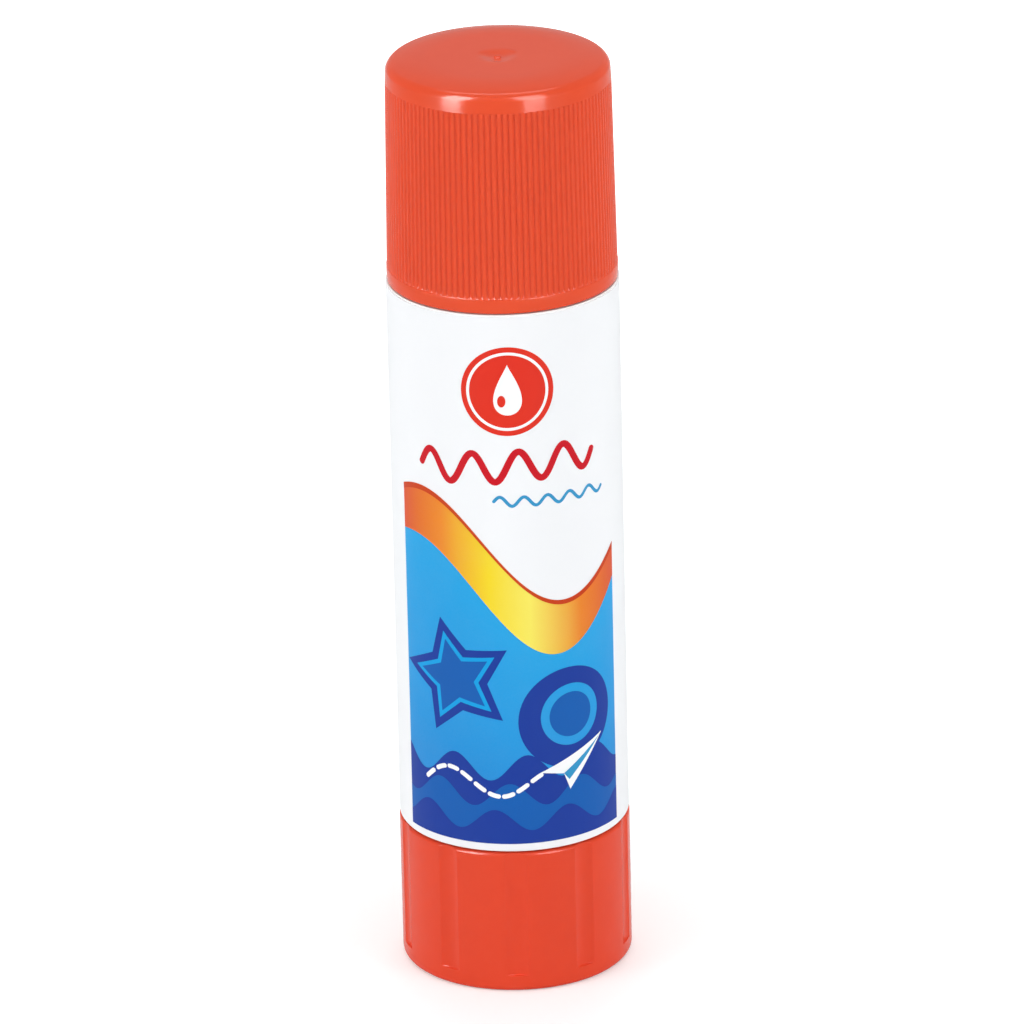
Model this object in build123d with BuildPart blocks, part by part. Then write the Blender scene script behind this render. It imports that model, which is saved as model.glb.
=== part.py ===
from build123d import *
import math
import os

os.makedirs("parts", exist_ok=True)

# Twist-up glue stick standing on its knob, in millimetres, with +Z up and the origin under its foot.
# The front, where the print on the label faces, looks towards -Y.

# Barrel: a tube with a thin neck for the cap, a floor that carries the screw and a stub inside the knob
bore_radius = 7.85
neck_wall = 0.9
barrel_wall = 2.25
neck_height = 13.0
shoulder_height = 64.0
barrel_floor_top = 16.0
barrel_floor_thickness = 1.4
stub_step = 1.28
stub_wall = 1.1
neck_lip_chamfer = 0.3
neck_bead_height = 0.1
neck_bead_drop = 3.0
key_count = 4
key_height = 0.5
key_width = 1.0
key_below_neck = 3.5

# Label: a film wrapped once round the barrel, lapped over itself towards the back
film_thickness = 0.1
label_edge_gap = 0.15
lap_width = 5.0
lap_angle = 62.0

# Knob: a cup with shallow flutes round it and a hub that holds the root of the screw
knob_height = 13.4
knob_wall = 1.0
knob_floor = 1.4
foot_recess_depth = 0.6
foot_rim_width = 1.5
knob_foot_chamfer = 0.5
knob_lip_chamfer = 0.25
flute_count = 10
flute_depth = 0.23
flute_radius = 2.6
flute_foot = 1.6
hub_wall = 1.2
gusset_count = 4
gusset_height = 4.5
gusset_thickness = 0.8

# Screw
thread_lead = 5.75
thread_core_radius = 1.85
thread_height = 0.75
thread_root_width = 1.7
shank_across_flats = 3.6
journal_margin = 0.1
flange_step = 1.4
flange_thickness = 1.1
thread_runout = 0.5
screw_tip_length = 0.9
screw_tip_radius = 1.2
screw_half_thickness = 1.2

# Carrier: the cup under the glue, with the nut that climbs the screw
carrier_height = 11.0
carrier_wall = 1.0
carrier_web_height = 5.8
carrier_web_thickness = 1.2
nut_wall = 1.3
rim_below_neck_when_raised = 3.7

# Glue
glue_below_neck = 1.7
glue_edge_chamfer = 0.5
glue_bore_end_gap = 1.5

# Cap
cap_height = 20.1
cap_ceiling = 1.3
cap_wall = 0.71
cap_draft = 0.26
cap_rim_height = 1.3
cap_rim_proud = 0.04
cap_rim_chamfer = 0.12
cap_lead_in = 0.3
crown_edge_width = 2.4
crown_edge_drop = 1.75
crown_edge_steps = 4
ribs_below_top = 2.0
rib_count = 120
rib_depth = 0.14
rib_set_back = 0.02
seal_wall = 0.6
seal_reach = 1.3
dimple_radius = 1.7
dimple_depth = 0.22
gate_radius = 0.3

# Clearances between pieces that move past each other, and one overrun for every cut
slide_clearance = 0.15
key_clearance = 0.15
cap_clearance = 0.2
cap_seat_gap = 0.1
seal_clearance = 0.12
stub_clearance = 0.2
knob_running_gap = 0.2
floor_running_gap = 0.15
journal_clearance = 0.1
press_clearance = 0.03
thread_clearance = 0.2
screw_to_glue_clearance = 0.25
carrier_seat_gap = 0.3
gusset_clearance = 0.4
overrun = 1.0

# Radii that follow from the bore outwards
neck_radius = bore_radius + neck_wall
barrel_radius = bore_radius + barrel_wall
label_radius = barrel_radius + film_thickness
stub_radius = barrel_radius - stub_step
stub_bore_radius = stub_radius - stub_wall
knob_bore_radius = stub_radius + stub_clearance
knob_radius = knob_bore_radius + knob_wall + flute_depth
cap_bore_radius = neck_radius + cap_clearance
rib_crest_top_radius = cap_bore_radius + cap_wall + rib_depth
rib_crest_foot_radius = rib_crest_top_radius + cap_draft
cap_rim_radius = rib_crest_foot_radius + cap_rim_proud
key_inner_radius = bore_radius - key_height
slider_radius = bore_radius - slide_clearance
keyway_radius = key_inner_radius - key_clearance
carrier_bore_radius = slider_radius - carrier_wall
thread_major_radius = thread_core_radius + thread_height
shank_corner_radius = shank_across_flats / 2 / math.cos(math.radians(30))
journal_radius = shank_corner_radius + journal_margin
flange_radius = journal_radius + flange_step
floor_hole_radius = journal_radius + journal_clearance
hub_radius = shank_corner_radius + press_clearance + hub_wall
nut_groove_radius = thread_major_radius + thread_clearance
nut_radius = nut_groove_radius + nut_wall
seal_radius = bore_radius - seal_clearance

# Heights that follow from the floors and seats
knob_floor_top = foot_recess_depth + knob_floor
barrel_foot = knob_height + knob_running_gap
barrel_floor_foot = barrel_floor_top - barrel_floor_thickness
hub_top = barrel_floor_foot - floor_running_gap
stub_foot = knob_floor_top + overrun
neck_top = shoulder_height + neck_height
bead_middle = neck_top - neck_bead_drop
flange_foot = barrel_floor_top + floor_running_gap
flange_top = flange_foot + flange_thickness
carrier_foot = barrel_floor_top + carrier_seat_gap
carrier_rim = carrier_foot + carrier_height
web_foot = carrier_foot + carrier_web_height
web_top = web_foot + carrier_web_thickness
nut_foot = flange_top + carrier_seat_gap
travel = neck_top - carrier_rim - rim_below_neck_when_raised
screw_top = web_top + travel
thread_foot = flange_top + thread_root_width / 2
glue_top = neck_top - glue_below_neck
cap_foot = shoulder_height + cap_seat_gap
cap_top = cap_foot + cap_height
quarter_turn = math.pi / 2
crown_edge_angles = [quarter_turn * step / crown_edge_steps for step in range(crown_edge_steps + 1)]
crown_edge_points = [
    (
        rib_crest_top_radius - crown_edge_width * (1 - math.cos(angle)),
        cap_top - crown_edge_drop * (1 - math.sin(angle)),
    )
    for angle in crown_edge_angles
]
cap_ceiling_foot = cap_top - cap_ceiling
ribs_foot = cap_foot + cap_rim_height
ribs_top = cap_top - ribs_below_top


def helix_ridge(grow, first_turn, height):
    """One left-hand thread ridge round the axis, a vee in section, grown all round by a clearance."""
    inside = thread_core_radius - thread_height / 2
    outside = thread_major_radius + grow
    half_inside = thread_root_width / 2 * (thread_major_radius - inside) / thread_height + grow
    with BuildPart() as ridge:
        with BuildLine():
            Helix(thread_lead, height, thread_core_radius, center=(0, 0, first_turn), lefthand=True)
        with BuildSketch(Plane.XZ):
            with BuildLine():
                Polyline(
                    (inside, first_turn - half_inside),
                    (outside, first_turn),
                    (inside, first_turn + half_inside),
                    close=True,
                )
            make_face()
        sweep(is_frenet=True)
    return ridge.part


spindle_ridge = helix_ridge(0, thread_foot, screw_top - screw_tip_length - thread_foot - thread_runout)
nut_groove = helix_ridge(thread_clearance, thread_foot - thread_lead, web_top - nut_foot + 2 * thread_lead)

# Barrel
with BuildPart() as barrel:
    with BuildSketch(Plane.XZ):
        with BuildLine():
            Polyline(
                (floor_hole_radius, barrel_floor_foot),
                (stub_bore_radius, barrel_floor_foot),
                (stub_bore_radius, stub_foot),
                (stub_radius, stub_foot),
                (stub_radius, barrel_foot),
                (barrel_radius, barrel_foot),
                (barrel_radius, shoulder_height),
                (neck_radius, shoulder_height),
                (neck_radius, bead_middle - neck_bead_height),
                (neck_radius + neck_bead_height, bead_middle),
                (neck_radius, bead_middle + neck_bead_height),
                (neck_radius, neck_top - neck_lip_chamfer),
                (neck_radius - neck_lip_chamfer, neck_top),
                (bore_radius, neck_top),
                (bore_radius, barrel_floor_top),
                (floor_hole_radius, barrel_floor_top),
                close=True,
            )
        make_face()
    revolve(axis=Axis.Z)
    # Keys down the bore that stop the carrier from turning
    with BuildSketch(Plane.XY.offset(barrel_floor_top)):
        with PolarLocations(key_inner_radius, key_count):
            Rectangle(key_height + neck_wall / 2, key_width, align=(Align.MIN, Align.CENTER))
    extrude(amount=neck_top - key_below_neck - barrel_floor_top)
barrel.part.label = "barrel"
export_step(barrel.part, "parts/barrel.step")

# Label film with its lapped end
with BuildPart() as label:
    with BuildSketch(Plane.XY.offset(barrel_foot + label_edge_gap)):
        Circle(label_radius)
        Circle(barrel_radius, mode=Mode.SUBTRACT)
    extrude(amount=shoulder_height - barrel_foot - 2 * label_edge_gap)
    with BuildSketch(Plane.XY.offset(barrel_foot + label_edge_gap)):
        with BuildLine():
            lap_turn = math.degrees(lap_width / label_radius)
            lap_start = lap_angle - lap_turn / 2
            inner_arc = CenterArc((0, 0), label_radius - film_thickness / 2, lap_start, lap_turn)
            outer_arc = CenterArc((0, 0), label_radius + film_thickness, lap_start, lap_turn)
            Line(inner_arc @ 0, outer_arc @ 0)
            Line(inner_arc @ 1, outer_arc @ 1)
        make_face()
    extrude(amount=shoulder_height - barrel_foot - 2 * label_edge_gap)
label.part.label = "label"
export_step(label.part, "parts/label.step")

# Knob
with BuildPart() as base_knob:
    with BuildSketch(Plane.XZ):
        with BuildLine():
            Polyline(
                (0, foot_recess_depth),
                (knob_radius - foot_rim_width, foot_recess_depth),
                (knob_radius - foot_rim_width, 0),
                (knob_radius - knob_foot_chamfer, 0),
                (knob_radius, knob_foot_chamfer),
                (knob_radius, knob_height - knob_lip_chamfer),
                (knob_radius - knob_lip_chamfer, knob_height),
                (knob_bore_radius, knob_height),
                (knob_bore_radius, knob_floor_top),
                (hub_radius, knob_floor_top),
                (hub_radius, hub_top),
                (0, hub_top),
                close=True,
            )
        make_face()
    revolve(axis=Axis.Z)
    # Flutes for the fingers, open at the top, one of them facing the front
    with BuildSketch(Plane.XY.offset(flute_foot)):
        with PolarLocations(knob_radius - flute_depth + flute_radius, flute_count, start_angle=-90):
            Circle(flute_radius)
    extrude(amount=knob_height, mode=Mode.SUBTRACT)
    # Gussets between hub and floor
    with BuildSketch(Plane.XY.offset(knob_floor_top)):
        with PolarLocations(0, gusset_count):
            Rectangle(
                stub_bore_radius - gusset_clearance, gusset_thickness, align=(Align.MIN, Align.CENTER)
            )
    extrude(amount=gusset_height)
    # Hexagonal socket for the screw
    with BuildSketch(Plane.XY.offset(knob_floor_top)):
        RegularPolygon(shank_corner_radius + press_clearance, 6)
    extrude(amount=hub_top, mode=Mode.SUBTRACT)
base_knob.part.label = "base_knob"
export_step(base_knob.part, "parts/base_knob.step")

# Threaded shank, moulded with a flat along each side of the parting line that interrupts the thread
with BuildPart() as screw:
    with BuildSketch(Plane.XZ):
        with BuildLine():
            Polyline(
                (0, flange_top - flange_thickness / 2),
                (thread_core_radius, flange_top - flange_thickness / 2),
                (thread_core_radius, screw_top - screw_tip_length),
                (screw_tip_radius, screw_top),
                (0, screw_top),
                close=True,
            )
        make_face()
    revolve(axis=Axis.Z)
    add(spindle_ridge)
    with BuildSketch(Plane.XY.offset(flange_top - flange_thickness / 2)):
        Rectangle(2 * nut_groove_radius, 2 * screw_half_thickness)
    extrude(amount=screw_top - flange_foot, mode=Mode.INTERSECT)

# Spindle: the screw, with a flange above the barrel's floor and a hexagonal root in the knob
with BuildPart() as spindle:
    with BuildSketch(Plane.XY.offset(knob_floor_top)):
        RegularPolygon(shank_corner_radius, 6)
    extrude(amount=hub_top - knob_floor_top)
    with BuildSketch(Plane.XZ):
        with BuildLine():
            Polyline(
                (0, hub_top),
                (journal_radius, hub_top),
                (journal_radius, flange_foot),
                (flange_radius, flange_foot),
                (flange_radius, flange_top),
                (0, flange_top),
                close=True,
            )
        make_face()
    revolve(axis=Axis.Z)
    add(screw.part)
spindle.part.label = "spindle"
export_step(spindle.part, "parts/spindle.step")

# Carrier cup with the nut
with BuildPart() as elevator:
    with BuildSketch(Plane.XZ):
        with BuildLine():
            Polyline(
                (0, nut_foot),
                (nut_radius, nut_foot),
                (nut_radius, web_foot),
                (carrier_bore_radius, web_foot),
                (carrier_bore_radius, carrier_foot),
                (slider_radius, carrier_foot),
                (slider_radius, carrier_rim),
                (carrier_bore_radius, carrier_rim),
                (carrier_bore_radius, web_top),
                (0, web_top),
                close=True,
            )
        make_face()
    revolve(axis=Axis.Z)
    # Nut thread first, then the bore through its middle
    add(nut_groove, mode=Mode.SUBTRACT)
    with BuildSketch(Plane.XY.offset(nut_foot - overrun)):
        Circle(thread_core_radius + thread_clearance)
    extrude(amount=web_top - nut_foot + 2 * overrun, mode=Mode.SUBTRACT)
    # Keyways that run on the barrel's keys
    with BuildSketch(Plane.XY.offset(carrier_foot)):
        with PolarLocations(keyway_radius, key_count):
            Rectangle(carrier_wall, key_width + 2 * key_clearance, align=(Align.MIN, Align.CENTER))
    extrude(amount=carrier_height, mode=Mode.SUBTRACT)
elevator.part.label = "elevator"
export_step(elevator.part, "parts/elevator.step")

# Glue, cast into the carrier and round the screw
with BuildPart() as glue:
    with BuildSketch(Plane.XZ):
        with BuildLine():
            Polyline(
                (thread_major_radius + screw_to_glue_clearance, web_top),
                (carrier_bore_radius, web_top),
                (carrier_bore_radius, carrier_rim),
                (slider_radius, carrier_rim),
                (slider_radius, glue_top - glue_edge_chamfer),
                (slider_radius - glue_edge_chamfer, glue_top),
                (0, glue_top),
                (0, screw_top + glue_bore_end_gap),
                (thread_major_radius + screw_to_glue_clearance, screw_top + glue_bore_end_gap),
                close=True,
            )
        make_face()
    revolve(axis=Axis.Z)
    with BuildSketch(Plane.XY.offset(carrier_rim)):
        with PolarLocations(keyway_radius, key_count):
            Rectangle(carrier_wall, key_width + 2 * key_clearance, align=(Align.MIN, Align.CENTER))
    extrude(amount=glue_top - carrier_rim, mode=Mode.SUBTRACT)
glue.part.label = "glue"
export_step(glue.part, "parts/glue.step")


def rib_outline(crest_radius):
    """Corners of the ribbed outline, from crest to groove and on to the next crest."""
    step = math.pi / rib_count
    radii = (crest_radius, crest_radius - rib_depth)
    return [
        (radii[corner % 2] * math.cos(corner * step), radii[corner % 2] * math.sin(corner * step))
        for corner in range(2 * rib_count)
    ]


# Cap: a plain rim, a drawn skirt of fine ribs, a rounded crown and a seal that plugs the neck
with BuildPart() as cap:
    # Ribbed skirt, ruled from its foot to its narrower top
    with BuildSketch(Plane.XY.offset(ribs_foot)):
        with BuildLine():
            Polyline(rib_outline(rib_crest_foot_radius - rib_set_back), close=True)
        make_face()
    with BuildSketch(Plane.XY.offset(ribs_top)):
        with BuildLine():
            Polyline(rib_outline(rib_crest_top_radius - rib_set_back), close=True)
        make_face()
    loft(ruled=True)
    # Rim below the ribs, and the crown above them with its edge turned in small steps and a moulding dimple
    with BuildSketch(Plane.XZ):
        with BuildLine():
            Polyline(
                (0, cap_foot),
                (cap_rim_radius - cap_rim_chamfer, cap_foot),
                (cap_rim_radius, cap_foot + cap_rim_chamfer),
                (cap_rim_radius, ribs_foot),
                (0, ribs_foot),
                close=True,
            )
        make_face()
        with BuildLine():
            Polyline(
                (0, ribs_top),
                (rib_crest_top_radius, ribs_top),
                *crown_edge_points,
                (dimple_radius, cap_top),
                (gate_radius, cap_top - dimple_depth),
                (0, cap_top - dimple_depth),
                close=True,
            )
        make_face()
    revolve(axis=Axis.Z)
    # Room for the neck, round the seal that hangs from the ceiling
    with BuildSketch(Plane.XZ):
        with BuildLine():
            Polyline(
                (0, cap_foot),
                (0, cap_ceiling_foot),
                (seal_radius - seal_wall, cap_ceiling_foot),
                (seal_radius - seal_wall, neck_top - seal_reach),
                (seal_radius, neck_top - seal_reach),
                (seal_radius, cap_ceiling_foot),
                (cap_bore_radius, cap_ceiling_foot),
                (cap_bore_radius, cap_foot + cap_lead_in),
                (cap_bore_radius + cap_lead_in, cap_foot),
                close=True,
            )
        make_face()
    revolve(axis=Axis.Z, mode=Mode.SUBTRACT)
cap.part.label = "cap"
export_step(cap.part, "parts/cap.step")

print("travel", travel, "turns", travel / thread_lead, "height", cap_top, "label radius", label_radius)
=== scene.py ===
import bpy, bmesh, math
from mathutils import Matrix, Vector


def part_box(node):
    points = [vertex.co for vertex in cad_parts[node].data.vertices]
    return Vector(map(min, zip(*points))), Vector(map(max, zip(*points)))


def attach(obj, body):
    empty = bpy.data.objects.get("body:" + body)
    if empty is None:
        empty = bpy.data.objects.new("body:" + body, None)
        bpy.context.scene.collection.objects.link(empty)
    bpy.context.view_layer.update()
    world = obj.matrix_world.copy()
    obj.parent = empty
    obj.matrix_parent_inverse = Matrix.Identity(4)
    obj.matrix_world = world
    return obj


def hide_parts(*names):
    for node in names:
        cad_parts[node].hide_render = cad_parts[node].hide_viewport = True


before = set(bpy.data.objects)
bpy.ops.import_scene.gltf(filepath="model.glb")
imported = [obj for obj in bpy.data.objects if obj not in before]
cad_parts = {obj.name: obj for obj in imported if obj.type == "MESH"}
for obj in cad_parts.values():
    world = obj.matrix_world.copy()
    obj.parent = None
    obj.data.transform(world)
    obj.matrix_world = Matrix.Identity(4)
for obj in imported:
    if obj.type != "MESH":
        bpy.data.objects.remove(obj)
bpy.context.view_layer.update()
mm = 0.001
print("frame loaded")


# Sizes read off the frame, in millimetres

def boxOf(node):
    low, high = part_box(node)
    return low / mm, high / mm


labelLow, labelHigh = boxOf("label")
knobHigh = boxOf("base_knob")[1]
capLow, capHigh = boxOf("cap")


# Camera where the photograph was taken from, and soft studio light

view = {
    "target": (0.363, 0.0, 41.75),      # in millimetres, as is the distance
    "distance": 792.0,
    "elevation": 21.75,
    "roll": 1.3,
    "lens": 316.4,
    "sensor": 36.0,
    "nearClip": 0.01,       # in metres, as is the far one
    "farClip": 20.0,
}


def makeCamera():
    tilt = math.radians(view["elevation"])
    target = Vector(view["target"]) * mm
    back = Vector((0, -math.cos(tilt), math.sin(tilt))) * view["distance"] * mm
    data = bpy.data.cameras.new("photoCamera")
    data.lens = view["lens"]
    data.sensor_width = view["sensor"]
    data.clip_start = view["nearClip"]
    data.clip_end = view["farClip"]
    camera = bpy.data.objects.new("photoCamera", data)
    aim = (-back).to_track_quat("-Z", "Y").to_matrix().to_4x4()
    roll = Matrix.Rotation(math.radians(-view["roll"]), 4, "Z")
    camera.matrix_world = Matrix.Translation(target + back) @ aim @ roll
    bpy.context.scene.collection.objects.link(camera)
    bpy.context.scene.camera = camera


lampAim = (0, 0, 0.045)
lamps = {
    # azimuth from the front towards +X, height angle, distance, width and height in metres, watts,
    # and whether the lamp shows in the diffuse light or in the gloss
    "leftBox": (-64, 12, 1.0, 0.5, 0.6, 5.0, "diffuse"),
    "rightBox": (56, 12, 1.0, 0.5, 0.6, 4.7, "diffuse"),
    "topBox": (0, 80, 0.9, 0.9, 0.9, 2.4, "diffuse"),
    "backBox": (180, 32, 1.0, 0.9, 0.6, 3.6, "diffuse"),
    "leftShine": (-48, 30, 1.1, 0.42, 1.2, 46.0, "gloss"),
    "rightShine": (36, 30, 1.1, 0.46, 1.2, 25.0, "gloss"),
    "overShine": (180, 74, 1.1, 0.9, 0.3, 4.0, "gloss"),
}


def makeLamps():
    target = Vector(lampAim)
    for name, (azimuth, height, far, wide, tall, watts, lights) in lamps.items():
        data = bpy.data.lights.new(name, "AREA")
        data.shape = "RECTANGLE"
        data.size = wide
        data.size_y = tall
        data.energy = watts
        lamp = bpy.data.objects.new(name, data)
        side = math.radians(azimuth)
        rise = math.radians(height)
        away = Vector((math.sin(side) * math.cos(rise), -math.cos(side) * math.cos(rise), math.sin(rise)))
        lamp.location = target + away * far
        lamp.rotation_euler = (-away).to_track_quat("-Z", "Y").to_euler()
        lamp.visible_diffuse = lights == "diffuse"
        lamp.visible_glossy = lights == "gloss"
        bpy.context.scene.collection.objects.link(lamp)


worldLook = {
    "fill": 0.45,           # the light all round; the camera sees plain white instead
    "white": (1, 1, 1, 1),
}


def makeWorld():
    world = bpy.data.worlds.new("paleStudio")
    bpy.context.scene.world = world
    world.use_nodes = True
    nodes = world.node_tree.nodes
    links = world.node_tree.links
    nodes.clear()
    seen = nodes.new("ShaderNodeLightPath")
    fill = nodes.new("ShaderNodeBackground")
    fill.inputs["Color"].default_value = worldLook["white"]
    fill.inputs["Strength"].default_value = worldLook["fill"]
    backdrop = nodes.new("ShaderNodeBackground")
    backdrop.inputs["Color"].default_value = worldLook["white"]
    mix = nodes.new("ShaderNodeMixShader")
    out = nodes.new("ShaderNodeOutputWorld")
    links.new(seen.outputs["Is Camera Ray"], mix.inputs["Fac"])
    links.new(fill.outputs[0], mix.inputs[1])
    links.new(backdrop.outputs[0], mix.inputs[2])
    links.new(mix.outputs[0], out.inputs["Surface"])


floorLook = {
    "half": 3.0,                        # half the floor's width in metres
    "colour": (0.765, 0.8, 0.8, 1),     # a little cool, against the red that the knob throws
    "liftNear": 0.32,                   # light added for the camera, beside the stick and further off
    "liftFar": 0.8,
    "nearReach": 0.02,                  # where the added light starts to grow and stops, in metres
    "farReach": 0.16,
}


def makeFloor():
    mesh = bpy.data.meshes.new("floorSheet")
    half = floorLook["half"]
    corners = [(-half, -half, 0), (half, -half, 0), (half, half, 0), (-half, half, 0)]
    mesh.from_pydata(corners, [], [(0, 1, 2, 3)])
    floor = bpy.data.objects.new("floorSheet", mesh)
    bpy.context.scene.collection.objects.link(floor)
    material = bpy.data.materials.new("paleFloor")
    material.use_nodes = True
    nodes = material.node_tree.nodes
    links = material.node_tree.links
    nodes.clear()
    seen = nodes.new("ShaderNodeLightPath")
    paper = nodes.new("ShaderNodeBsdfDiffuse")
    paper.inputs["Color"].default_value = floorLook["colour"]
    lift = nodes.new("ShaderNodeEmission")
    place = nodes.new("ShaderNodeNewGeometry")
    away = nodes.new("ShaderNodeVectorMath")
    away.operation = "LENGTH"
    links.new(place.outputs["Position"], away.inputs[0])
    fade = nodes.new("ShaderNodeMapRange")
    fade.inputs["From Min"].default_value = floorLook["nearReach"]
    fade.inputs["From Max"].default_value = floorLook["farReach"]
    fade.inputs["To Min"].default_value = floorLook["liftNear"]
    fade.inputs["To Max"].default_value = floorLook["liftFar"]
    links.new(away.outputs["Value"], fade.inputs["Value"])
    links.new(fade.outputs["Result"], lift.inputs["Strength"])
    both = nodes.new("ShaderNodeAddShader")
    pick = nodes.new("ShaderNodeMixShader")
    out = nodes.new("ShaderNodeOutputMaterial")
    links.new(paper.outputs[0], both.inputs[0])
    links.new(lift.outputs[0], both.inputs[1])
    links.new(seen.outputs["Is Camera Ray"], pick.inputs["Fac"])
    links.new(paper.outputs[0], pick.inputs[1])
    links.new(both.outputs[0], pick.inputs[2])
    links.new(pick.outputs[0], out.inputs["Surface"])
    mesh.materials.append(material)


makeCamera()
makeLamps()
makeWorld()
makeFloor()
bpy.context.scene.view_settings.view_transform = "Standard"
print("camera, light and floor made")


# Shader groups that several materials share

mouldedLook = {
    "broadScale": 90.0,         # flow clouds across the piece
    "fineScale": 900.0,
    "skinScale": 2600.0,        # the grain that a mould leaves
    "unevenGloss": 0.16,
    "bumpDistance": 0.000012,
    "skinShare": 0.3,
    "broadShare": 2.0,
    "innerReach": 0.001,        # how far light runs under the surface of the paste
}
inkLook = {
    "grainScale": 5200.0,       # the dots of the print
    "patchScale": 260.0,
    "grainShare": 0.6,
    "unevenGloss": 0.06,
    "filmScale": 420.0,         # the film is not quite flat
    "bumpDistance": 0.00003,
    "bumpStrength": 0.18,
    "screen": 0.35,
    "blendScreen": 0.03,
    "gloss": 0.3,
    "shine": 0.14,
}


def newGroup(name, inputs, outputs):
    tree = bpy.data.node_groups.new(name, "ShaderNodeTree")
    for label, kind, value in inputs:
        socket = tree.interface.new_socket(name=label, in_out="INPUT", socket_type=kind)
        if value is not None:
            socket.default_value = value
    for label, kind in outputs:
        tree.interface.new_socket(name=label, in_out="OUTPUT", socket_type=kind)
    return tree, tree.nodes.new("NodeGroupInput"), tree.nodes.new("NodeGroupOutput")


def mathNode(tree, operation, first, second=None, clamp=False):
    node = tree.nodes.new("ShaderNodeMath")
    node.operation = operation
    node.use_clamp = clamp
    for index, value in enumerate((first, second)):
        if value is None:
            continue
        if isinstance(value, (int, float)):
            node.inputs[index].default_value = value
        else:
            tree.links.new(value, node.inputs[index])
    return node.outputs[0]


def noiseNode(tree, place, scale, detail=3.0, roughness=0.5):
    node = tree.nodes.new("ShaderNodeTexNoise")
    node.inputs["Detail"].default_value = detail
    node.inputs["Roughness"].default_value = roughness
    tree.links.new(place, node.inputs["Vector"])
    if isinstance(scale, (int, float)):
        node.inputs["Scale"].default_value = scale
    else:
        tree.links.new(scale, node.inputs["Scale"])
    return node.outputs["Fac"]


def mixColour(tree, amount, first, second):
    node = tree.nodes.new("ShaderNodeMix")
    node.data_type = "RGBA"
    for socket, value in ((node.inputs[0], amount), (node.inputs[6], first), (node.inputs[7], second)):
        if isinstance(value, (int, float, tuple)):
            socket.default_value = value
        else:
            tree.links.new(value, socket)
    return node.outputs[2]


def makeMouldedGroup():
    # Flow clouds in the colour, a slightly uneven gloss and the fine skin that a mould leaves
    tree, given, made = newGroup("mouldedSkin", [
        ("Colour", "NodeSocketColor", (0.8, 0.8, 0.8, 1)),
        ("Cloud Colour", "NodeSocketColor", (0.7, 0.7, 0.7, 1)),
        ("Cloud", "NodeSocketFloat", 0.3),
        ("Gloss", "NodeSocketFloat", 0.35),
        ("Skin Depth", "NodeSocketFloat", 0.2),
    ], [("Colour", "NodeSocketColor"), ("Roughness", "NodeSocketFloat"), ("Normal", "NodeSocketVector")])
    place = tree.nodes.new("ShaderNodeTexCoord").outputs["Object"]
    broad = noiseNode(tree, place, mouldedLook["broadScale"], detail=2.0)
    fine = noiseNode(tree, place, mouldedLook["fineScale"], detail=4.0, roughness=0.6)
    skin = noiseNode(tree, place, mouldedLook["skinScale"], roughness=0.55)
    cloud = mathNode(tree, "MULTIPLY", mathNode(tree, "ADD", broad, fine), given.outputs["Cloud"], clamp=True)
    tree.links.new(mixColour(tree, cloud, given.outputs["Colour"], given.outputs["Cloud Colour"]),
                   made.inputs["Colour"])
    uneven = mathNode(tree, "MULTIPLY", mathNode(tree, "SUBTRACT", fine, 0.5), mouldedLook["unevenGloss"])
    rough = mathNode(tree, "ADD", given.outputs["Gloss"], uneven, clamp=True)
    tree.links.new(rough, made.inputs["Roughness"])
    bump = tree.nodes.new("ShaderNodeBump")
    bump.inputs["Distance"].default_value = mouldedLook["bumpDistance"]
    tree.links.new(given.outputs["Skin Depth"], bump.inputs["Strength"])
    grain = mathNode(tree, "MULTIPLY", skin, mouldedLook["skinShare"])
    swell = mathNode(tree, "MULTIPLY", broad, mouldedLook["broadShare"])
    tree.links.new(mathNode(tree, "ADD", grain, swell), bump.inputs["Height"])
    tree.links.new(bump.outputs["Normal"], made.inputs["Normal"])
    return tree


def makeInkGroup():
    # Print on film: a faint screen of dots in the colour, a film that is not quite smooth
    tree, given, made = newGroup("printedInk", [
        ("Colour", "NodeSocketColor", (0.8, 0.8, 0.8, 1)),
        ("Dot Colour", "NodeSocketColor", (0.7, 0.7, 0.7, 1)),
        ("Screen", "NodeSocketFloat", 0.3),
        ("Gloss", "NodeSocketFloat", 0.3),
    ], [("Colour", "NodeSocketColor"), ("Roughness", "NodeSocketFloat"), ("Normal", "NodeSocketVector")])
    place = tree.nodes.new("ShaderNodeTexCoord").outputs["Object"]
    grain = noiseNode(tree, place, inkLook["grainScale"], detail=2.0)
    patch = noiseNode(tree, place, inkLook["patchScale"])
    dots = mathNode(tree, "ADD", mathNode(tree, "MULTIPLY", grain, inkLook["grainShare"]), patch)
    amount = mathNode(tree, "MULTIPLY", dots, given.outputs["Screen"], clamp=True)
    tree.links.new(mixColour(tree, amount, given.outputs["Colour"], given.outputs["Dot Colour"]),
                   made.inputs["Colour"])
    uneven = mathNode(tree, "MULTIPLY", mathNode(tree, "SUBTRACT", patch, 0.5), inkLook["unevenGloss"])
    rough = mathNode(tree, "ADD", given.outputs["Gloss"], uneven, clamp=True)
    tree.links.new(rough, made.inputs["Roughness"])
    bump = tree.nodes.new("ShaderNodeBump")
    bump.inputs["Distance"].default_value = inkLook["bumpDistance"]
    bump.inputs["Strength"].default_value = inkLook["bumpStrength"]
    tree.links.new(noiseNode(tree, place, inkLook["filmScale"], detail=2.0), bump.inputs["Height"])
    tree.links.new(bump.outputs["Normal"], made.inputs["Normal"])
    return tree


mouldedSkin = makeMouldedGroup()
printedInk = makeInkGroup()


def fromDisplay(red, green, blue):
    # A colour as a screen shows it, 0 to 255, turned linear
    def one(value):
        value /= 255
        return value / 12.92 if value <= 0.04045 else ((value + 0.055) / 1.055) ** 2.4
    return (one(red), one(green), one(blue), 1.0)


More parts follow.
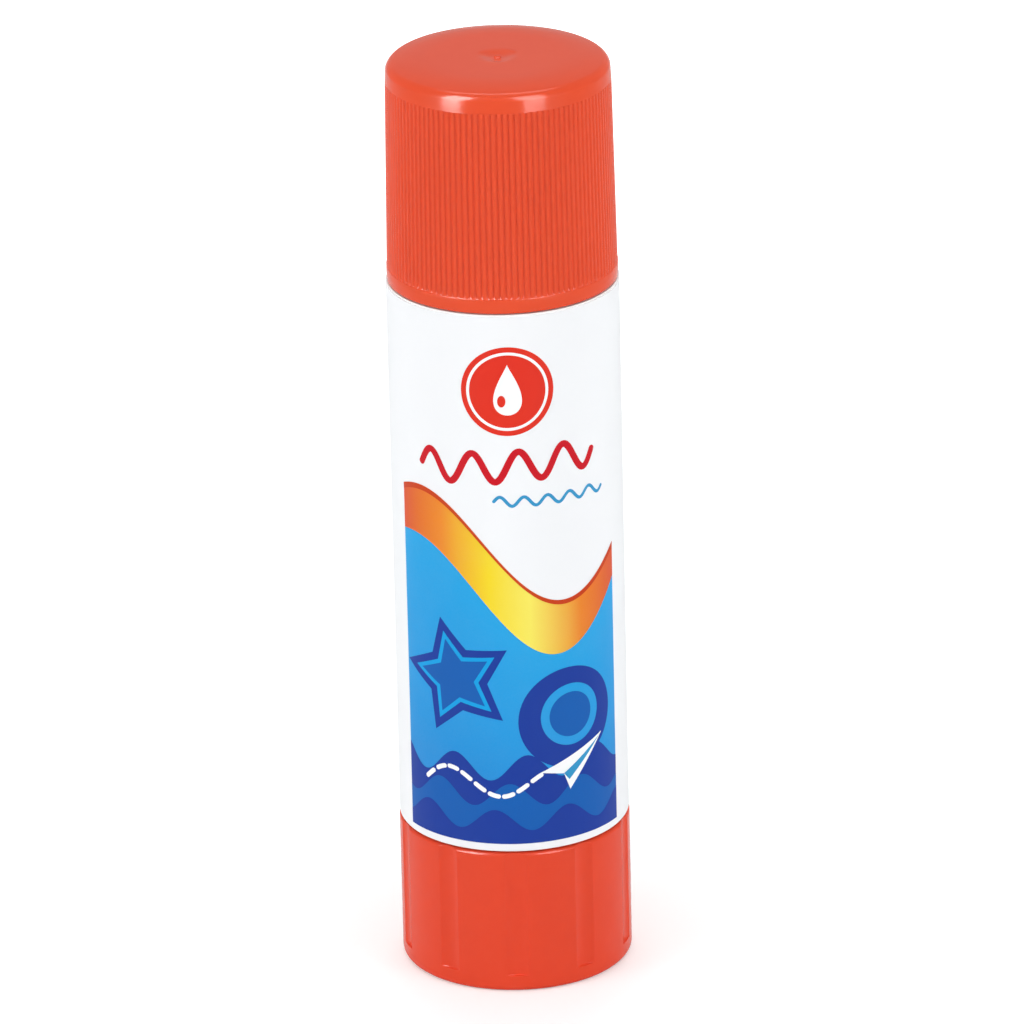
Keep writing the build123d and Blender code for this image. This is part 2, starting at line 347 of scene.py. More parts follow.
def groupedMaterial(name, effect, values, shine):
    # A material whose colour, roughness and normal come from a shader group
    material = bpy.data.materials.new(name)
    material.use_nodes = True
    tree = material.node_tree
    shader = tree.nodes["Principled BSDF"]
    group = tree.nodes.new("ShaderNodeGroup")
    group.node_tree = effect
    for label, value in values.items():
        group.inputs[label].default_value = value
    for label, socket in (("Colour", "Base Color"), ("Roughness", "Roughness"), ("Normal", "Normal")):
        tree.links.new(group.outputs[label], shader.inputs[socket])
    shader.inputs["Specular IOR Level"].default_value = shine
    return material


def mouldedMaterial(name, look):
    material = groupedMaterial(name, mouldedSkin, {
        "Colour": fromDisplay(*look["colour"]),
        "Cloud Colour": fromDisplay(*look["cloudColour"]),
        "Cloud": look["cloud"],
        "Gloss": look["gloss"],
        "Skin Depth": look["skinDepth"],
    }, look["shine"])
    shader = material.node_tree.nodes["Principled BSDF"]
    shader.inputs["Subsurface Weight"].default_value = look.get("inner", 0.0)
    shader.inputs["Subsurface Scale"].default_value = mouldedLook["innerReach"]
    return material


def inkMaterial(name, colour, dotColour, screen):
    return groupedMaterial(name, printedInk, {
        "Colour": colour,
        "Dot Colour": dotColour,
        "Screen": screen,
        "Gloss": inkLook["gloss"],
    }, inkLook["shine"])


def rampMaterial(name, stops, across=True):
    # A printed blend that follows the patch's own grid: V across it, U along it
    material = inkMaterial(name, (1, 1, 1, 1), (0.9, 0.9, 0.9, 1), inkLook["blendScreen"])
    tree = material.node_tree
    group = [node for node in tree.nodes if node.type == "GROUP"][0]
    grid = tree.nodes.new("ShaderNodeUVMap")
    grid.uv_map = "grid"
    apart = tree.nodes.new("ShaderNodeSeparateXYZ")
    ramp = tree.nodes.new("ShaderNodeValToRGB")
    tree.links.new(grid.outputs["UV"], apart.inputs[0])
    tree.links.new(apart.outputs["Y" if across else "X"], ramp.inputs["Fac"])
    bar = ramp.color_ramp
    while len(bar.elements) < len(stops):
        bar.elements.new(0.5)
    for element, (place, colour) in zip(bar.elements, stops):
        element.position = place
        element.color = fromDisplay(*colour)
    tree.links.new(ramp.outputs["Color"], group.inputs["Colour"])
    return material


# Helpers for turned meshes

def arcPoints(centreRadius, centreHeight, radius, startDegrees, endDegrees, steps):
    points = []
    for step in range(steps + 1):
        turn = math.radians(startDegrees + (endDegrees - startDegrees) * step / steps)
        points.append((centreRadius + radius * math.cos(turn), centreHeight + radius * math.sin(turn)))
    return points


nearShare = 0.03        # a first point close to the start keeps the shading of the edge there crisp


def roundedCorner(start, corner, end, radius, steps):
    # From start to end past a corner that is rounded off
    toStart = (Vector(start) - Vector(corner)).normalized()
    toEnd = (Vector(end) - Vector(corner)).normalized()
    half = toStart.angle(toEnd) / 2
    centre = Vector(corner) + (toStart + toEnd).normalized() * radius / math.sin(half)
    first = Vector(corner) + toStart * radius / math.tan(half) - centre
    last = Vector(corner) + toEnd * radius / math.tan(half) - centre
    points = [start, tuple(Vector(start).lerp(centre + first, nearShare))]
    for step in range(steps + 1):
        points.append(tuple(centre + first.slerp(last, step / steps)))
    return points + [end]


def turnedMesh(name, rows, turns, radiusAt, closed=False):
    # rows: (radius, height, tag) up the outside and down the inside; turns: angles in degrees
    vertices = []
    faces = []
    rings = []
    count = len(turns)
    for radius, height, tag in rows:
        if radius == 0:
            rings.append([len(vertices)])
            vertices.append((0, 0, height * mm))
            continue
        ring = []
        for turn in turns:
            here = radiusAt(radius, height, turn, tag)
            angle = math.radians(turn)
            ring.append(len(vertices))
            vertices.append((here * math.cos(angle) * mm, here * math.sin(angle) * mm, height * mm))
        rings.append(ring)
    pairs = list(zip(rings, rings[1:]))
    if closed:
        pairs.append((rings[-1], rings[0]))
    for low, high in pairs:
        for step in range(count):
            after = (step + 1) % count
            if len(low) == 1 and len(high) == 1:
                continue
            if len(low) == 1:
                faces.append((low[0], high[after], high[step]))
            elif len(high) == 1:
                faces.append((low[step], low[after], high[0]))
            else:
                faces.append((low[step], low[after], high[after], high[step]))
    mesh = bpy.data.meshes.new(name)
    mesh.from_pydata(vertices, [], faces)
    mesh.update()
    piece = bpy.data.objects.new(name, mesh)
    bpy.context.scene.collection.objects.link(piece)
    return piece


def smoothed(piece, edgeDegrees):
    piece.data.shade_smooth()
    piece.data.set_sharp_from_angle(angle=math.radians(edgeDegrees))


def evenTurns(count):
    return [360 * step / count for step in range(count)]


# Cap

capMake = {
    "ribs": 120,
    "samplesPerRib": 8,
    "ribDepth": 0.14,
    "ribRows": 24,
    "grooveFlat": 0.12,             # half the groove's floor and its flank, as shares of half a rib
    "grooveFlank": 0.5,
    "footFade": 0.3,                # how soon a groove opens at its foot and closes at its top
    "topFade": 0.16,
    "footLifts": (0.0, 0.05, 0.12, 0.2, 0.32),
    "topDrops": (0.45, 0.3, 0.17, 0.1, 0.04, 0.0),
    "rimHeight": 1.3,
    "rimProud": 0.04,
    "rimRadius": 0.15,
    "rimSteps": 4,
    "rimEase": 0.06,
    "rimBreak": 0.015,
    "draft": 0.26,
    "ribsBelowTop": 2.0,
    "bandLean": 0.42,
    "bandHeight": 1.35,
    "edgeRadius": 0.75,
    "edgeSteps": 14,
    "crownRadius": 7.2,
    "crownShares": (0.8, 0.6, 0.45, 0.3),
    "mouthRadius": 8.95,
    "ceiling": 1.3,
    "leadIn": 0.3,
    "ease": 0.1,                    # the small break of an inner corner
    "sealOuter": 7.73,
    "sealInner": 7.13,
    "sealDepth": 7.2,
    "sealEase": 0.15,
    "beadHeight": 1.6,
    "beadHalf": 0.12,
    "beadFlat": 0.04,
    "beadProud": 0.05,
    "dimpleRadius": 1.7,
    "dimpleDepth": 0.22,
    "dimpleLip": 1.15,
    "dimpleBreak": 0.01,
    "dimpleShares": (0.85, 0.7, 0.55, 0.4, 0.3),
    "dimpleLobes": 3,
    "lobeShare": 0.12,
    "nubRadius": 0.3,
    # Shares of the nub's radius and of the dimple's depth
    "nubShares": ((1.05, 0.95), (1.0, 0.85), (0.85, 0.3), (0.5, 0.18), (0.0, 0.15)),
    "smoothBelow": 50,
    "finish": {
        "colour": (230, 82, 48),
        "cloudColour": (224, 74, 42),
        "cloud": 0.5,
        "gloss": 0.16,
        "skinDepth": 0.12,
        "shine": 0.2,
    },
}


def makeCap():
    foot = capLow.z
    top = capHigh.z
    rim = capHigh.x
    crestFoot = rim - capMake["rimProud"]
    crestTop = crestFoot - capMake["draft"]
    ribsFoot = foot + capMake["rimHeight"]
    ribsTop = top - capMake["ribsBelowTop"]
    ribsTall = ribsTop - ribsFoot
    crown = capMake["crownRadius"]
    ceiling = top - capMake["ceiling"]
    mouth = capMake["mouthRadius"]
    leadIn = capMake["leadIn"]
    ease = capMake["ease"]
    rows = []

    def add(points, tag="plain"):
        rows.extend((radius, height, tag) for radius, height in points)

    def addRib(share):
        add([(crestFoot - capMake["draft"] * share, ribsFoot + ribsTall * share)], "rib")

    # Outside, from the mouth up
    edge = capMake["rimRadius"]
    small = capMake["rimBreak"]
    add([(mouth + leadIn, foot), (mouth + leadIn + 2 * ease, foot), (rim - edge - 2 * small, foot)])
    add(arcPoints(rim - edge, foot + edge, edge, -90, 0, capMake["rimSteps"]))
    add([(rim, ribsFoot - capMake["rimEase"]), (rim - small, ribsFoot - small)])
    for lift in capMake["footLifts"]:
        addRib(lift / ribsTall)
    for step in range(1, capMake["ribRows"]):
        addRib(step / capMake["ribRows"])
    for drop in capMake["topDrops"]:
        addRib(1 - drop / ribsTall)
    add(roundedCorner((crestTop, ribsTop), (crestTop - capMake["bandLean"], ribsTop + capMake["bandHeight"]),
                      (crown, top), capMake["edgeRadius"], capMake["edgeSteps"]))
    dimple = capMake["dimpleRadius"]
    depth = capMake["dimpleDepth"]
    add([(crown * share, top) for share in capMake["crownShares"]])
    add([(dimple * capMake["dimpleLip"], top), (dimple, top - capMake["dimpleBreak"])])
    for share in capMake["dimpleShares"]:
        add([(dimple * share, top - depth * math.cos(share * math.pi / 2))], "dimple")
    nub = capMake["nubRadius"]
    add([(nub * wide, top - depth * deep) for wide, deep in capMake["nubShares"]])
    # Inside, from the ceiling down
    inner = capMake["sealInner"]
    outer = capMake["sealOuter"]
    sealEase = capMake["sealEase"]
    sealEnd = ceiling - capMake["sealDepth"]
    add([(0, ceiling), (inner - ease, ceiling), (inner, ceiling - ease), (inner, sealEnd + ease),
         (inner + ease, sealEnd), (outer - sealEase, sealEnd), (outer, sealEnd + sealEase),
         (outer, ceiling - ease), (outer + ease, ceiling), (mouth - ease, ceiling), (mouth, ceiling - ease)])
    bead = foot + capMake["beadHeight"]
    beadRadius = mouth - capMake["beadProud"]
    add([(mouth, bead + capMake["beadHalf"]), (beadRadius, bead + capMake["beadFlat"]),
         (beadRadius, bead - capMake["beadFlat"]), (mouth, bead - capMake["beadHalf"])])
    add([(mouth, foot + leadIn)])

    def radiusAt(radius, height, turn, tag):
        if tag == "rib":
            phase = (turn * capMake["ribs"] / 360) % 1
            away = abs(phase - 0.5) * 2          # 0 in the groove, 1 on the crest
            groove = 1 - min(1, max(0, (away - capMake["grooveFlat"]) / capMake["grooveFlank"]))
            groove = groove * groove * (3 - 2 * groove)
            opened = (height - ribsFoot) / capMake["footFade"]
            closing = (ribsTop - height) / capMake["topFade"]
            return radius - capMake["ribDepth"] * groove * math.sqrt(max(0, min(1, opened, closing)))
        if tag == "dimple":
            lobes = math.cos(math.radians(capMake["dimpleLobes"] * (turn + 90)))
            return radius * (1 + capMake["lobeShare"] * lobes)
        return radius

    turns = evenTurns(capMake["ribs"] * capMake["samplesPerRib"])
    cap = turnedMesh("capShell", rows, turns, radiusAt, closed=True)
    cap.data.materials.append(mouldedMaterial("redCapPlastic", capMake["finish"]))
    smoothed(cap, capMake["smoothBelow"])
    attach(cap, "cap_body")
    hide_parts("cap")


makeCap()
print("cap made")


# Knob

knobMake = {
    "radius": 10.25,
    "height": 13.4,
    "flutes": 10,
    "fluteDepth": 0.23,
    "fluteRadius": 2.6,
    "fluteFoot": 1.6,
    "ledgeShare": 0.8,              # how much of a flute's depth is there at its foot
    "belowFlute": (0.3, 0.04),
    "aboveFlute": (0.0, 0.05, 0.12, 0.4, 2.0, 5.0),
    "rimWidth": 1.5,
    "rimBreak": 0.12,
    "recess": 0.6,
    "footRadius": 0.6,
    "footFlat": 0.8,
    "footSteps": 8,
    "lipRadius": 0.3,
    "lipSteps": 5,
    "lipRun": 2.0,
    "bore": 9.02,
    "floorTop": 2.0,
    "hubRadius": 3.308,
    "socketRadius": 2.1,
    "socketLift": 0.01,
    "ease": 0.15,                   # the breaks of the inner corners
    "floorEase": 0.2,
    "fineEase": 0.05,
    "samplesPerFlute": 14,
    "samplesPerLand": 18,
    "gateRadius": 1.1,
    "gateDepth": 0.3,
    "smoothBelow": 14,
    "finish": {
        "colour": (228, 73, 44),
        "cloudColour": (222, 65, 38),
        "cloud": 0.5,
        "gloss": 0.2,
        "skinDepth": 0.2,
        "shine": 0.2,
    },
}


def makeKnob():
    radius = knobMake["radius"]
    height = knobMake["height"]
    bore = knobMake["bore"]
    cutter = knobMake["fluteRadius"]
    centre = radius - knobMake["fluteDepth"] + cutter
    half = math.degrees(math.acos((centre ** 2 + radius ** 2 - cutter ** 2) / (2 * centre * radius)))
    pitch = 360 / knobMake["flutes"]
    turns = []
    for flute in range(knobMake["flutes"]):
        middle = -90 + flute * pitch
        for step in range(knobMake["samplesPerFlute"]):
            turns.append(middle - half + 2 * half * step / knobMake["samplesPerFlute"])
        for step in range(knobMake["samplesPerLand"]):
            turns.append(middle + half + (pitch - 2 * half) * step / knobMake["samplesPerLand"])
    rows = []

    def add(points, tag="plain"):
        rows.extend((r, z, tag) for r, z in points)

    ring = radius - knobMake["rimWidth"]
    recess = knobMake["recess"]
    gate = knobMake["gateRadius"]
    gateFloor = recess + knobMake["gateDepth"]
    floorTop = knobMake["floorTop"]
    hub = knobMake["hubRadius"]
    hubTop = knobHigh.z
    socket = knobMake["socketRadius"]
    socketFloor = floorTop + knobMake["socketLift"]
    lip = knobMake["lipRadius"]
    foot = knobMake["fluteFoot"]
    ease = knobMake["ease"]
    fine = knobMake["fineEase"]
    wide = knobMake["floorEase"]
    edge = knobMake["footRadius"]
    # Underside from the middle out, then up the wall
    add([(0, gateFloor), (gate - fine, gateFloor), (gate, gateFloor - fine), (gate, recess + fine),
         (gate + fine, recess), (ring - ease, recess), (ring, recess - ease), (ring, knobMake["rimBreak"]),
         (ring + knobMake["rimBreak"], 0), (radius - knobMake["footFlat"], 0)])
    add(arcPoints(radius - edge, edge, edge, -90, 0, knobMake["footSteps"]))
    add([(radius, foot - drop) for drop in knobMake["belowFlute"]])
    for lift in knobMake["aboveFlute"]:
        add([(radius, foot + lift)], "flute" if lift else "ledge")
    add([(radius, height - knobMake["lipRun"]), (radius, height - lip - fine)], "flute")
    add(arcPoints(radius - lip, height - lip, lip, 0, 90, knobMake["lipSteps"]), "flute")
    # Inside, down to the floor, over the hub and into its socket
    add([(bore + ease, height), (bore, height - ease), (bore, floorTop + wide), (bore - wide, floorTop),
         (hub + wide, floorTop), (hub, floorTop + wide), (hub, hubTop - ease), (hub - ease, hubTop),
         (socket, hubTop), (socket, socketFloor), (0, socketFloor)])

    def radiusAt(r, z, turn, tag):
        if tag == "plain":
            return r
        away = (turn + 90 + pitch / 2) % pitch - pitch / 2
        if abs(away) >= half:
            return r
        turned = math.radians(away)
        floor = centre * math.cos(turned) - math.sqrt(cutter ** 2 - (centre * math.sin(turned)) ** 2)
        if tag == "ledge":
            floor = radius + (floor - radius) * knobMake["ledgeShare"]
        return min(r, floor)

    knob = turnedMesh("knobShell", rows, turns, radiusAt)
    knob.data.materials.append(mouldedMaterial("redKnobPlastic", knobMake["finish"]))
    smoothed(knob, knobMake["smoothBelow"])
    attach(knob, "knob_body")
    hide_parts("base_knob")


makeKnob()
print("knob made")


# Pieces that keep their shape from the frame and take a finish

finishes = {
    "barrel": ("whiteBarrelPlastic", {
        "colour": (246, 246, 245),
        "cloudColour": (236, 236, 233),
        "cloud": 0.3,
        "gloss": 0.34,
        "skinDepth": 0.15,
        "shine": 0.5,
    }),
    "elevator": ("whiteCarrierPlastic", {
        "colour": (240, 240, 236),
        "cloudColour": (228, 228, 222),
        "cloud": 0.3,
        "gloss": 0.45,
        "skinDepth": 0.3,
        "shine": 0.5,
    }),
    "spindle": ("redScrewPlastic", {
        "colour": (228, 77, 58),
        "cloudColour": (216, 64, 50),
        "cloud": 0.3,
        "gloss": 0.4,
        "skinDepth": 0.2,
        "shine": 0.5,
    }),
    "glue": ("pasteGlue", {
        "colour": (244, 243, 236),
        "cloudColour": (236, 233, 222),
        "cloud": 0.4,
        "gloss": 0.5,
        "skinDepth": 0.4,
        "shine": 0.5,
        "inner": 0.3,               # how much light runs under the surface
    }),
}

for node, (name, look) in finishes.items():
    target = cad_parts[node]
    target.data.materials.clear()
    target.data.materials.append(mouldedMaterial(name, look))
print("frame pieces finished")


# Label film and its print. Flat outlines are drawn in millimetres, across from the middle of the front
# and up from the table, then bent round the barrel in thin layers

labelMake = {
    "radius": 10.2,
    "turns": 256,
    "film": 0.1,
    "lapWidth": 5.0,
    "lapAngle": 62.0,
    "lapRamp": 0.35,                # past the lap, the film eases back down over this width
    "lapEdge": 0.03,                # degrees over which the upper end steps up
    "lapShare": 0.98,
    "edgeEase": 0.01,
    "edgeRun": 1.0,
    "smoothBelow": 30,
    "colour": (244, 244, 246),
    "dotColour": (238, 239, 243),
    "screen": 0.3,
    "firstLayer": 0.010,            # the print's first sheet above the film, and each one above the last
    "layerStep": 0.006,
    "column": 0.6,
    "cutReach": 0.00001,
}
labelRadius = labelMake["radius"]


def bent(across, up, lift=0.0):
    turn = across / labelRadius - math.pi / 2
    away = labelRadius + lift
    return away * math.cos(turn) * mm, away * math.sin(turn) * mm, up * mm


def printed(name, mesh, layer, material):
    # Bends a flat mesh whose vertices hold (across, up, 0) and gives it radial normals
    lift = labelMake["firstLayer"] + labelMake["layerStep"] * layer
    radial = []
    for vertex in mesh.vertices:
        turn = vertex.co.x / labelRadius - math.pi / 2
        radial.append((math.cos(turn), math.sin(turn), 0))
        vertex.co = bent(vertex.co.x, vertex.co.y, lift)
    mesh.shade_smooth()
    mesh.normals_split_custom_set_from_vertices(radial)
    mesh.materials.append(material)
    piece = bpy.data.objects.new(name, mesh)
    bpy.context.scene.collection.objects.link(piece)
    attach(piece, "barrel_body")


def cutAlong(work, spot, facing, clear=False):
    everything = work.verts[:] + work.edges[:] + work.faces[:]
    bmesh.ops.bisect_plane(work, geom=everything, dist=labelMake["cutReach"], plane_co=spot, plane_no=facing,
                           clear_outer=clear)


def cutShape(name, outlines, layer, material, clip=None):
    # Fills closed outlines, holes included, and cuts them into narrow columns so that they bend smoothly
    work = bmesh.new()
    for outline in outlines:
        corners = [work.verts.new((across, up, 0)) for across, up in outline]
        for first, second in zip(corners, corners[1:] + corners[:1]):
            work.edges.new((first, second))
    bmesh.ops.triangle_fill(work, use_beauty=True, edges=work.edges[:], normal=(0, 0, 1))
    if clip:
        left, right, foot, head = clip
        for spot, facing in (((left, 0, 0), (-1, 0, 0)), ((right, 0, 0), (1, 0, 0)),
                             ((0, foot, 0), (0, -1, 0)), ((0, head, 0), (0, 1, 0))):
            cutAlong(work, spot, facing, clear=True)
    low = min(vertex.co.x for vertex in work.verts)
    high = max(vertex.co.x for vertex in work.verts)
    column = labelMake["column"]
    for step in range(math.ceil(low / column), math.floor(high / column) + 1):
        cutAlong(work, (step * column, 0, 0), (1, 0, 0))
    for face in work.faces:
        if face.normal.z < 0:
            face.normal_flip()
    mesh = bpy.data.meshes.new(name)
    work.to_mesh(mesh)
    work.free()
    printed(name, mesh, layer, material)


def gridShape(name, left, right, lowAt, highAt, columns, rows, layer, material):
    # A strip between two curves with its own grid map: U along it, V across it
    vertices = []
    faces = []
    shares = []
    for column in range(columns + 1):
        along = column / columns
        across = left + (right - left) * along
        low, high = lowAt(across), highAt(across)
        for row in range(rows + 1):
            vertices.append((across, low + (high - low) * row / rows, 0))
            shares.append((along, row / rows))
    for column in range(columns):
        for row in range(rows):
            corner = column * (rows + 1) + row
            faces.append((corner, corner + rows + 1, corner + rows + 2, corner + 1))
    mesh = bpy.data.meshes.new(name)
    mesh.from_pydata(vertices, [], faces)
    grid = mesh.uv_layers.new(name="grid")
    for loop in mesh.loops:
        grid.data[loop.index].uv = shares[loop.vertex_index]
    printed(name, mesh, layer, material)


strokeRound = 8         # facets round each end of a stroke
strokeSample = 0.12     # from one point of a wavy stroke to the next


def strokeShape(name, points, width, layer, material):
    # A round-ended pen stroke along a line of points
    half = width / 2
    sides = []
    for index, (across, up) in enumerate(points):
        before = points[max(0, index - 1)]
        after = points[min(len(points) - 1, index + 1)]
        run, rise = after[0] - before[0], after[1] - before[1]
        length = math.hypot(run, rise)
        sides.append((across, up, -rise / length * half, run / length * half))
    vertices = []
    for across, up, side, rise in sides:
        vertices += [(across - side, up - rise, 0), (across, up, 0), (across + side, up + rise, 0)]
    faces = []
    for index in range(len(sides) - 1):
        corner = index * 3
        faces += [(corner, corner + 3, corner + 4, corner + 1),
                  (corner + 1, corner + 4, corner + 5, corner + 2)]
    for index, sign in ((0, -1), (len(sides) - 1, 1)):
        across, up, side, rise = sides[index]
        fan = [index * 3]
        for step in range(1, strokeRound):
            # From the right side round the end to the left side
            turn = math.pi * step / strokeRound
            reach = math.sin(turn) * sign
            fan.append(len(vertices))
            vertices.append((across - side * math.cos(turn) + rise * reach,
                             up - rise * math.cos(turn) - side * reach, 0))
        fan.append(index * 3 + 2)
        middle = index * 3 + 1
        for first, second in zip(fan, fan[1:]):
            faces.append((middle, first, second) if sign > 0 else (middle, second, first))
    mesh = bpy.data.meshes.new(name)
    mesh.from_pydata(vertices, [], faces)
    printed(name, mesh, layer, material)


def wave(left, right, middle, height, period, lean):
    count = int((right - left) / strokeSample)
    points = []
    for index in range(count + 1):
        share = index / count
        across = left + (right - left) * share
        swing = height * math.sin(2 * math.pi * (across - left) / period)
        points.append((across, middle + lean * (share - 0.5) + swing))
    return points


def ringOutline(across, up, radius, count=64, squash=1.0):
    return [(across + radius * math.cos(2 * math.pi * step / count),
             up + radius * squash * math.sin(2 * math.pi * step / count)) for step in range(count)]


def starOutline(across, up, outer, inner, points, turn):
    corners = []
    for step in range(points * 2):
        radius = outer if step % 2 == 0 else inner
        angle = math.radians(turn + 180 * step / points)
        corners.append((across + radius * math.cos(angle), up + radius * math.sin(angle)))
    return corners


def dropOutline(across, up, wide, tall, point, count=56):
    corners = []
    for step in range(count):
        turn = 2 * math.pi * step / count
        side = wide * math.sin(turn) * math.sin(turn / 2) ** point
        corners.append((across + side, up + tall * math.cos(turn)))
    return corners


def turnedOutline(corners, across, up, angle, scale):
    turn = math.radians(angle)
    return [(across + scale * (x * math.cos(turn) - y * math.sin(turn)),
             up + scale * (x * math.sin(turn) + y * math.cos(turn))) for x, y in corners]


def makeLabel():
    film = labelMake["film"]
    low, high = labelLow.z, labelHigh.z
    lapHalf = math.degrees(labelMake["lapWidth"] / labelRadius) / 2
    ramp = math.degrees(labelMake["lapRamp"] / labelRadius)
    turns = evenTurns(labelMake["turns"])
    edge = labelMake["lapAngle"] - lapHalf
    lapEnd = labelMake["lapAngle"] + lapHalf
    turns = sorted(turns + [edge - labelMake["lapEdge"], edge, lapEnd, lapEnd + ramp])
    lapped = film * labelMake["lapShare"]

    def radiusAt(radius, height, turn, tag):
        if tag != "skin":
            return radius
        # One end of the film steps up over the other and eases back down where the lower end begins
        if edge <= turn <= lapEnd:
            return radius + lapped
        if lapEnd < turn < lapEnd + ramp:
            return radius + lapped * (1 - (turn - lapEnd) / ramp)
        return radius

    ease = labelMake["edgeEase"]
    run = labelMake["edgeRun"]
    outside = [(labelRadius - ease, low), (labelRadius, low + ease), (labelRadius, low + run),
               (labelRadius, high - run), (labelRadius, high - ease), (labelRadius - ease, high)]
    inside = labelRadius - film
    rows = [(inside, low, "plain")] + [(r, z, "skin") for r, z in outside] + [(inside, high, "plain")]
    skin = turnedMesh("labelFilm", rows, turns, radiusAt, closed=True)
    skin.data.materials.append(inkMaterial(
        "whiteLabelFilm", fromDisplay(*labelMake["colour"]), fromDisplay(*labelMake["dotColour"]),
        labelMake["screen"]))
    smoothed(skin, labelMake["smoothBelow"])
    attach(skin, "barrel_body")
    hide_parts("label")


makeLabel()
print("label film made")


# The print: places are across from the middle of the front and up from the table

# Each ink's colour and that of its dots, as a screen shows them
inks = {
    "red": ((206, 22, 36), (196, 16, 30)),
    "badge": ((226, 52, 34), (218, 44, 28)),
    "paleBlue": ((48, 146, 198), (70, 160, 206)),
    "sky": ((14, 156, 222), (24, 166, 228)),
    "middle": ((22, 96, 178), (18, 86, 168)),
    "dark": ((26, 56, 150), (32, 68, 160)),
    "white": ((250, 250, 250), (244, 246, 250)),
    "edge": ((196, 54, 22), (214, 84, 24)),
}

printMake = {
    "panel": {"half": 11.04, "foot": 14.35, "head": 60, "columns": 72, "rows": 30},
    "band": {
        "start": 45.6,
        "fall": 9.4,
        "swing": 3.1,
        "swingTurns": 2.0,
        "swingShift": 0.12,
        "rise": 3.4,
        "thick": 4.2,
        "belly": 1.9,
        "taper": 1.0,
        "rows": 10,
        "edge": 0.34,
        "edgeGrowth": 0.2,
    },
    "gold": [(0.0, (214, 70, 14)), (0.22, (234, 134, 16)), (0.42, (242, 212, 18)),
             (0.58, (246, 230, 90)), (0.8, (232, 128, 20)), (1.0, (214, 70, 20))],
    "ground": [(0.0, (8, 126, 204)), (0.5, (6, 148, 218)), (1.0, (8, 160, 224))],
    "star": {
        "across": -5.2,
        "up": 29.8,
        "points": 5,
        "turn": 104,
        # name, outer radius, inner radius, ink
        "sheets": (("Back", 5.7, 3.05, "dark"), ("Middle", 4.4, 2.25, "sky"),
                   ("Front", 3.65, 1.82, "middle")),
    },
    "ring": {"across": 5.2, "up": 25.9, "radius": 4.7, "hole": 2.9, "holeShift": 0.2, "disc": 2.1},
    "waves": ((21.6, 1.2, "dark", 0.4), (19.0, 1.1, "middle", 1.9), (16.6, 1.0, "dark", 3.2)),
    "waveRate": 0.95,
    "waveSample": 3,                # tenths of a millimetre from one point of a wave to the next
    "plane": {
        "across": 5.6,
        "up": 21.2,
        "turn": 8,
        "scale": 1.25,
        "body": ((-2.6, 0.2), (2.8, 1.5), (-0.6, -1.7), (-0.9, -0.35)),
        "fold": ((-0.9, -0.35), (2.5, 1.3), (-0.55, -0.95)),
    },
    "trail": {
        "start": -8.6,
        "length": 11.4,
        "up": 20.2,
        "swing": 1.3,
        "swingRate": 7.2,
        "sag": 1.6,
        "sagAt": 0.6,
        "dashes": 9,
        "pitch": 10,
        "drawn": (1, 8),
        "width": 0.42,
    },
    "badge": {"across": 0.2, "up": 57.0, "radius": 4.1, "ringOuter": 3.62, "ringInner": 3.36, "count": 96},
    "drop": {"up": 57.15, "wide": 1.75, "tall": 2.35, "point": 1.4},
    "dropShine": {"across": -0.35, "up": 56.1, "radius": 0.36, "count": 24, "squash": 1.5},
    "flourish": {"left": -8.2, "right": 8.2, "up": 50.0, "height": 1.35, "period": 4.1, "lean": 0.8,
                 "width": 0.62},
    "thinFlourish": {"left": -1.2, "right": 9.4, "up": 46.7, "height": 0.42, "period": 2.12, "lean": -0.2,
                     "width": 0.3},
}


def bandTop(across):
    half = printMake["panel"]["half"]
    band = printMake["band"]
    share = (across + half) / (2 * half)
    swing = math.sin(math.pi * (share * band["swingTurns"] + band["swingShift"]))
    return band["start"] - band["fall"] * share + band["swing"] * swing + band["rise"] * share ** 3


def bandFoot(across):
    half = printMake["panel"]["half"]
    band = printMake["band"]
    share = (across + half) / (2 * half)
    return bandTop(across) - band["thick"] - band["belly"] * math.sin(math.pi * share) + band["taper"] * share


def makeFlourish(name, make, material):
    points = wave(make["left"], make["right"], make["up"], make["height"], make["period"], make["lean"])
    strokeShape(name, points, make["width"], 0, material)


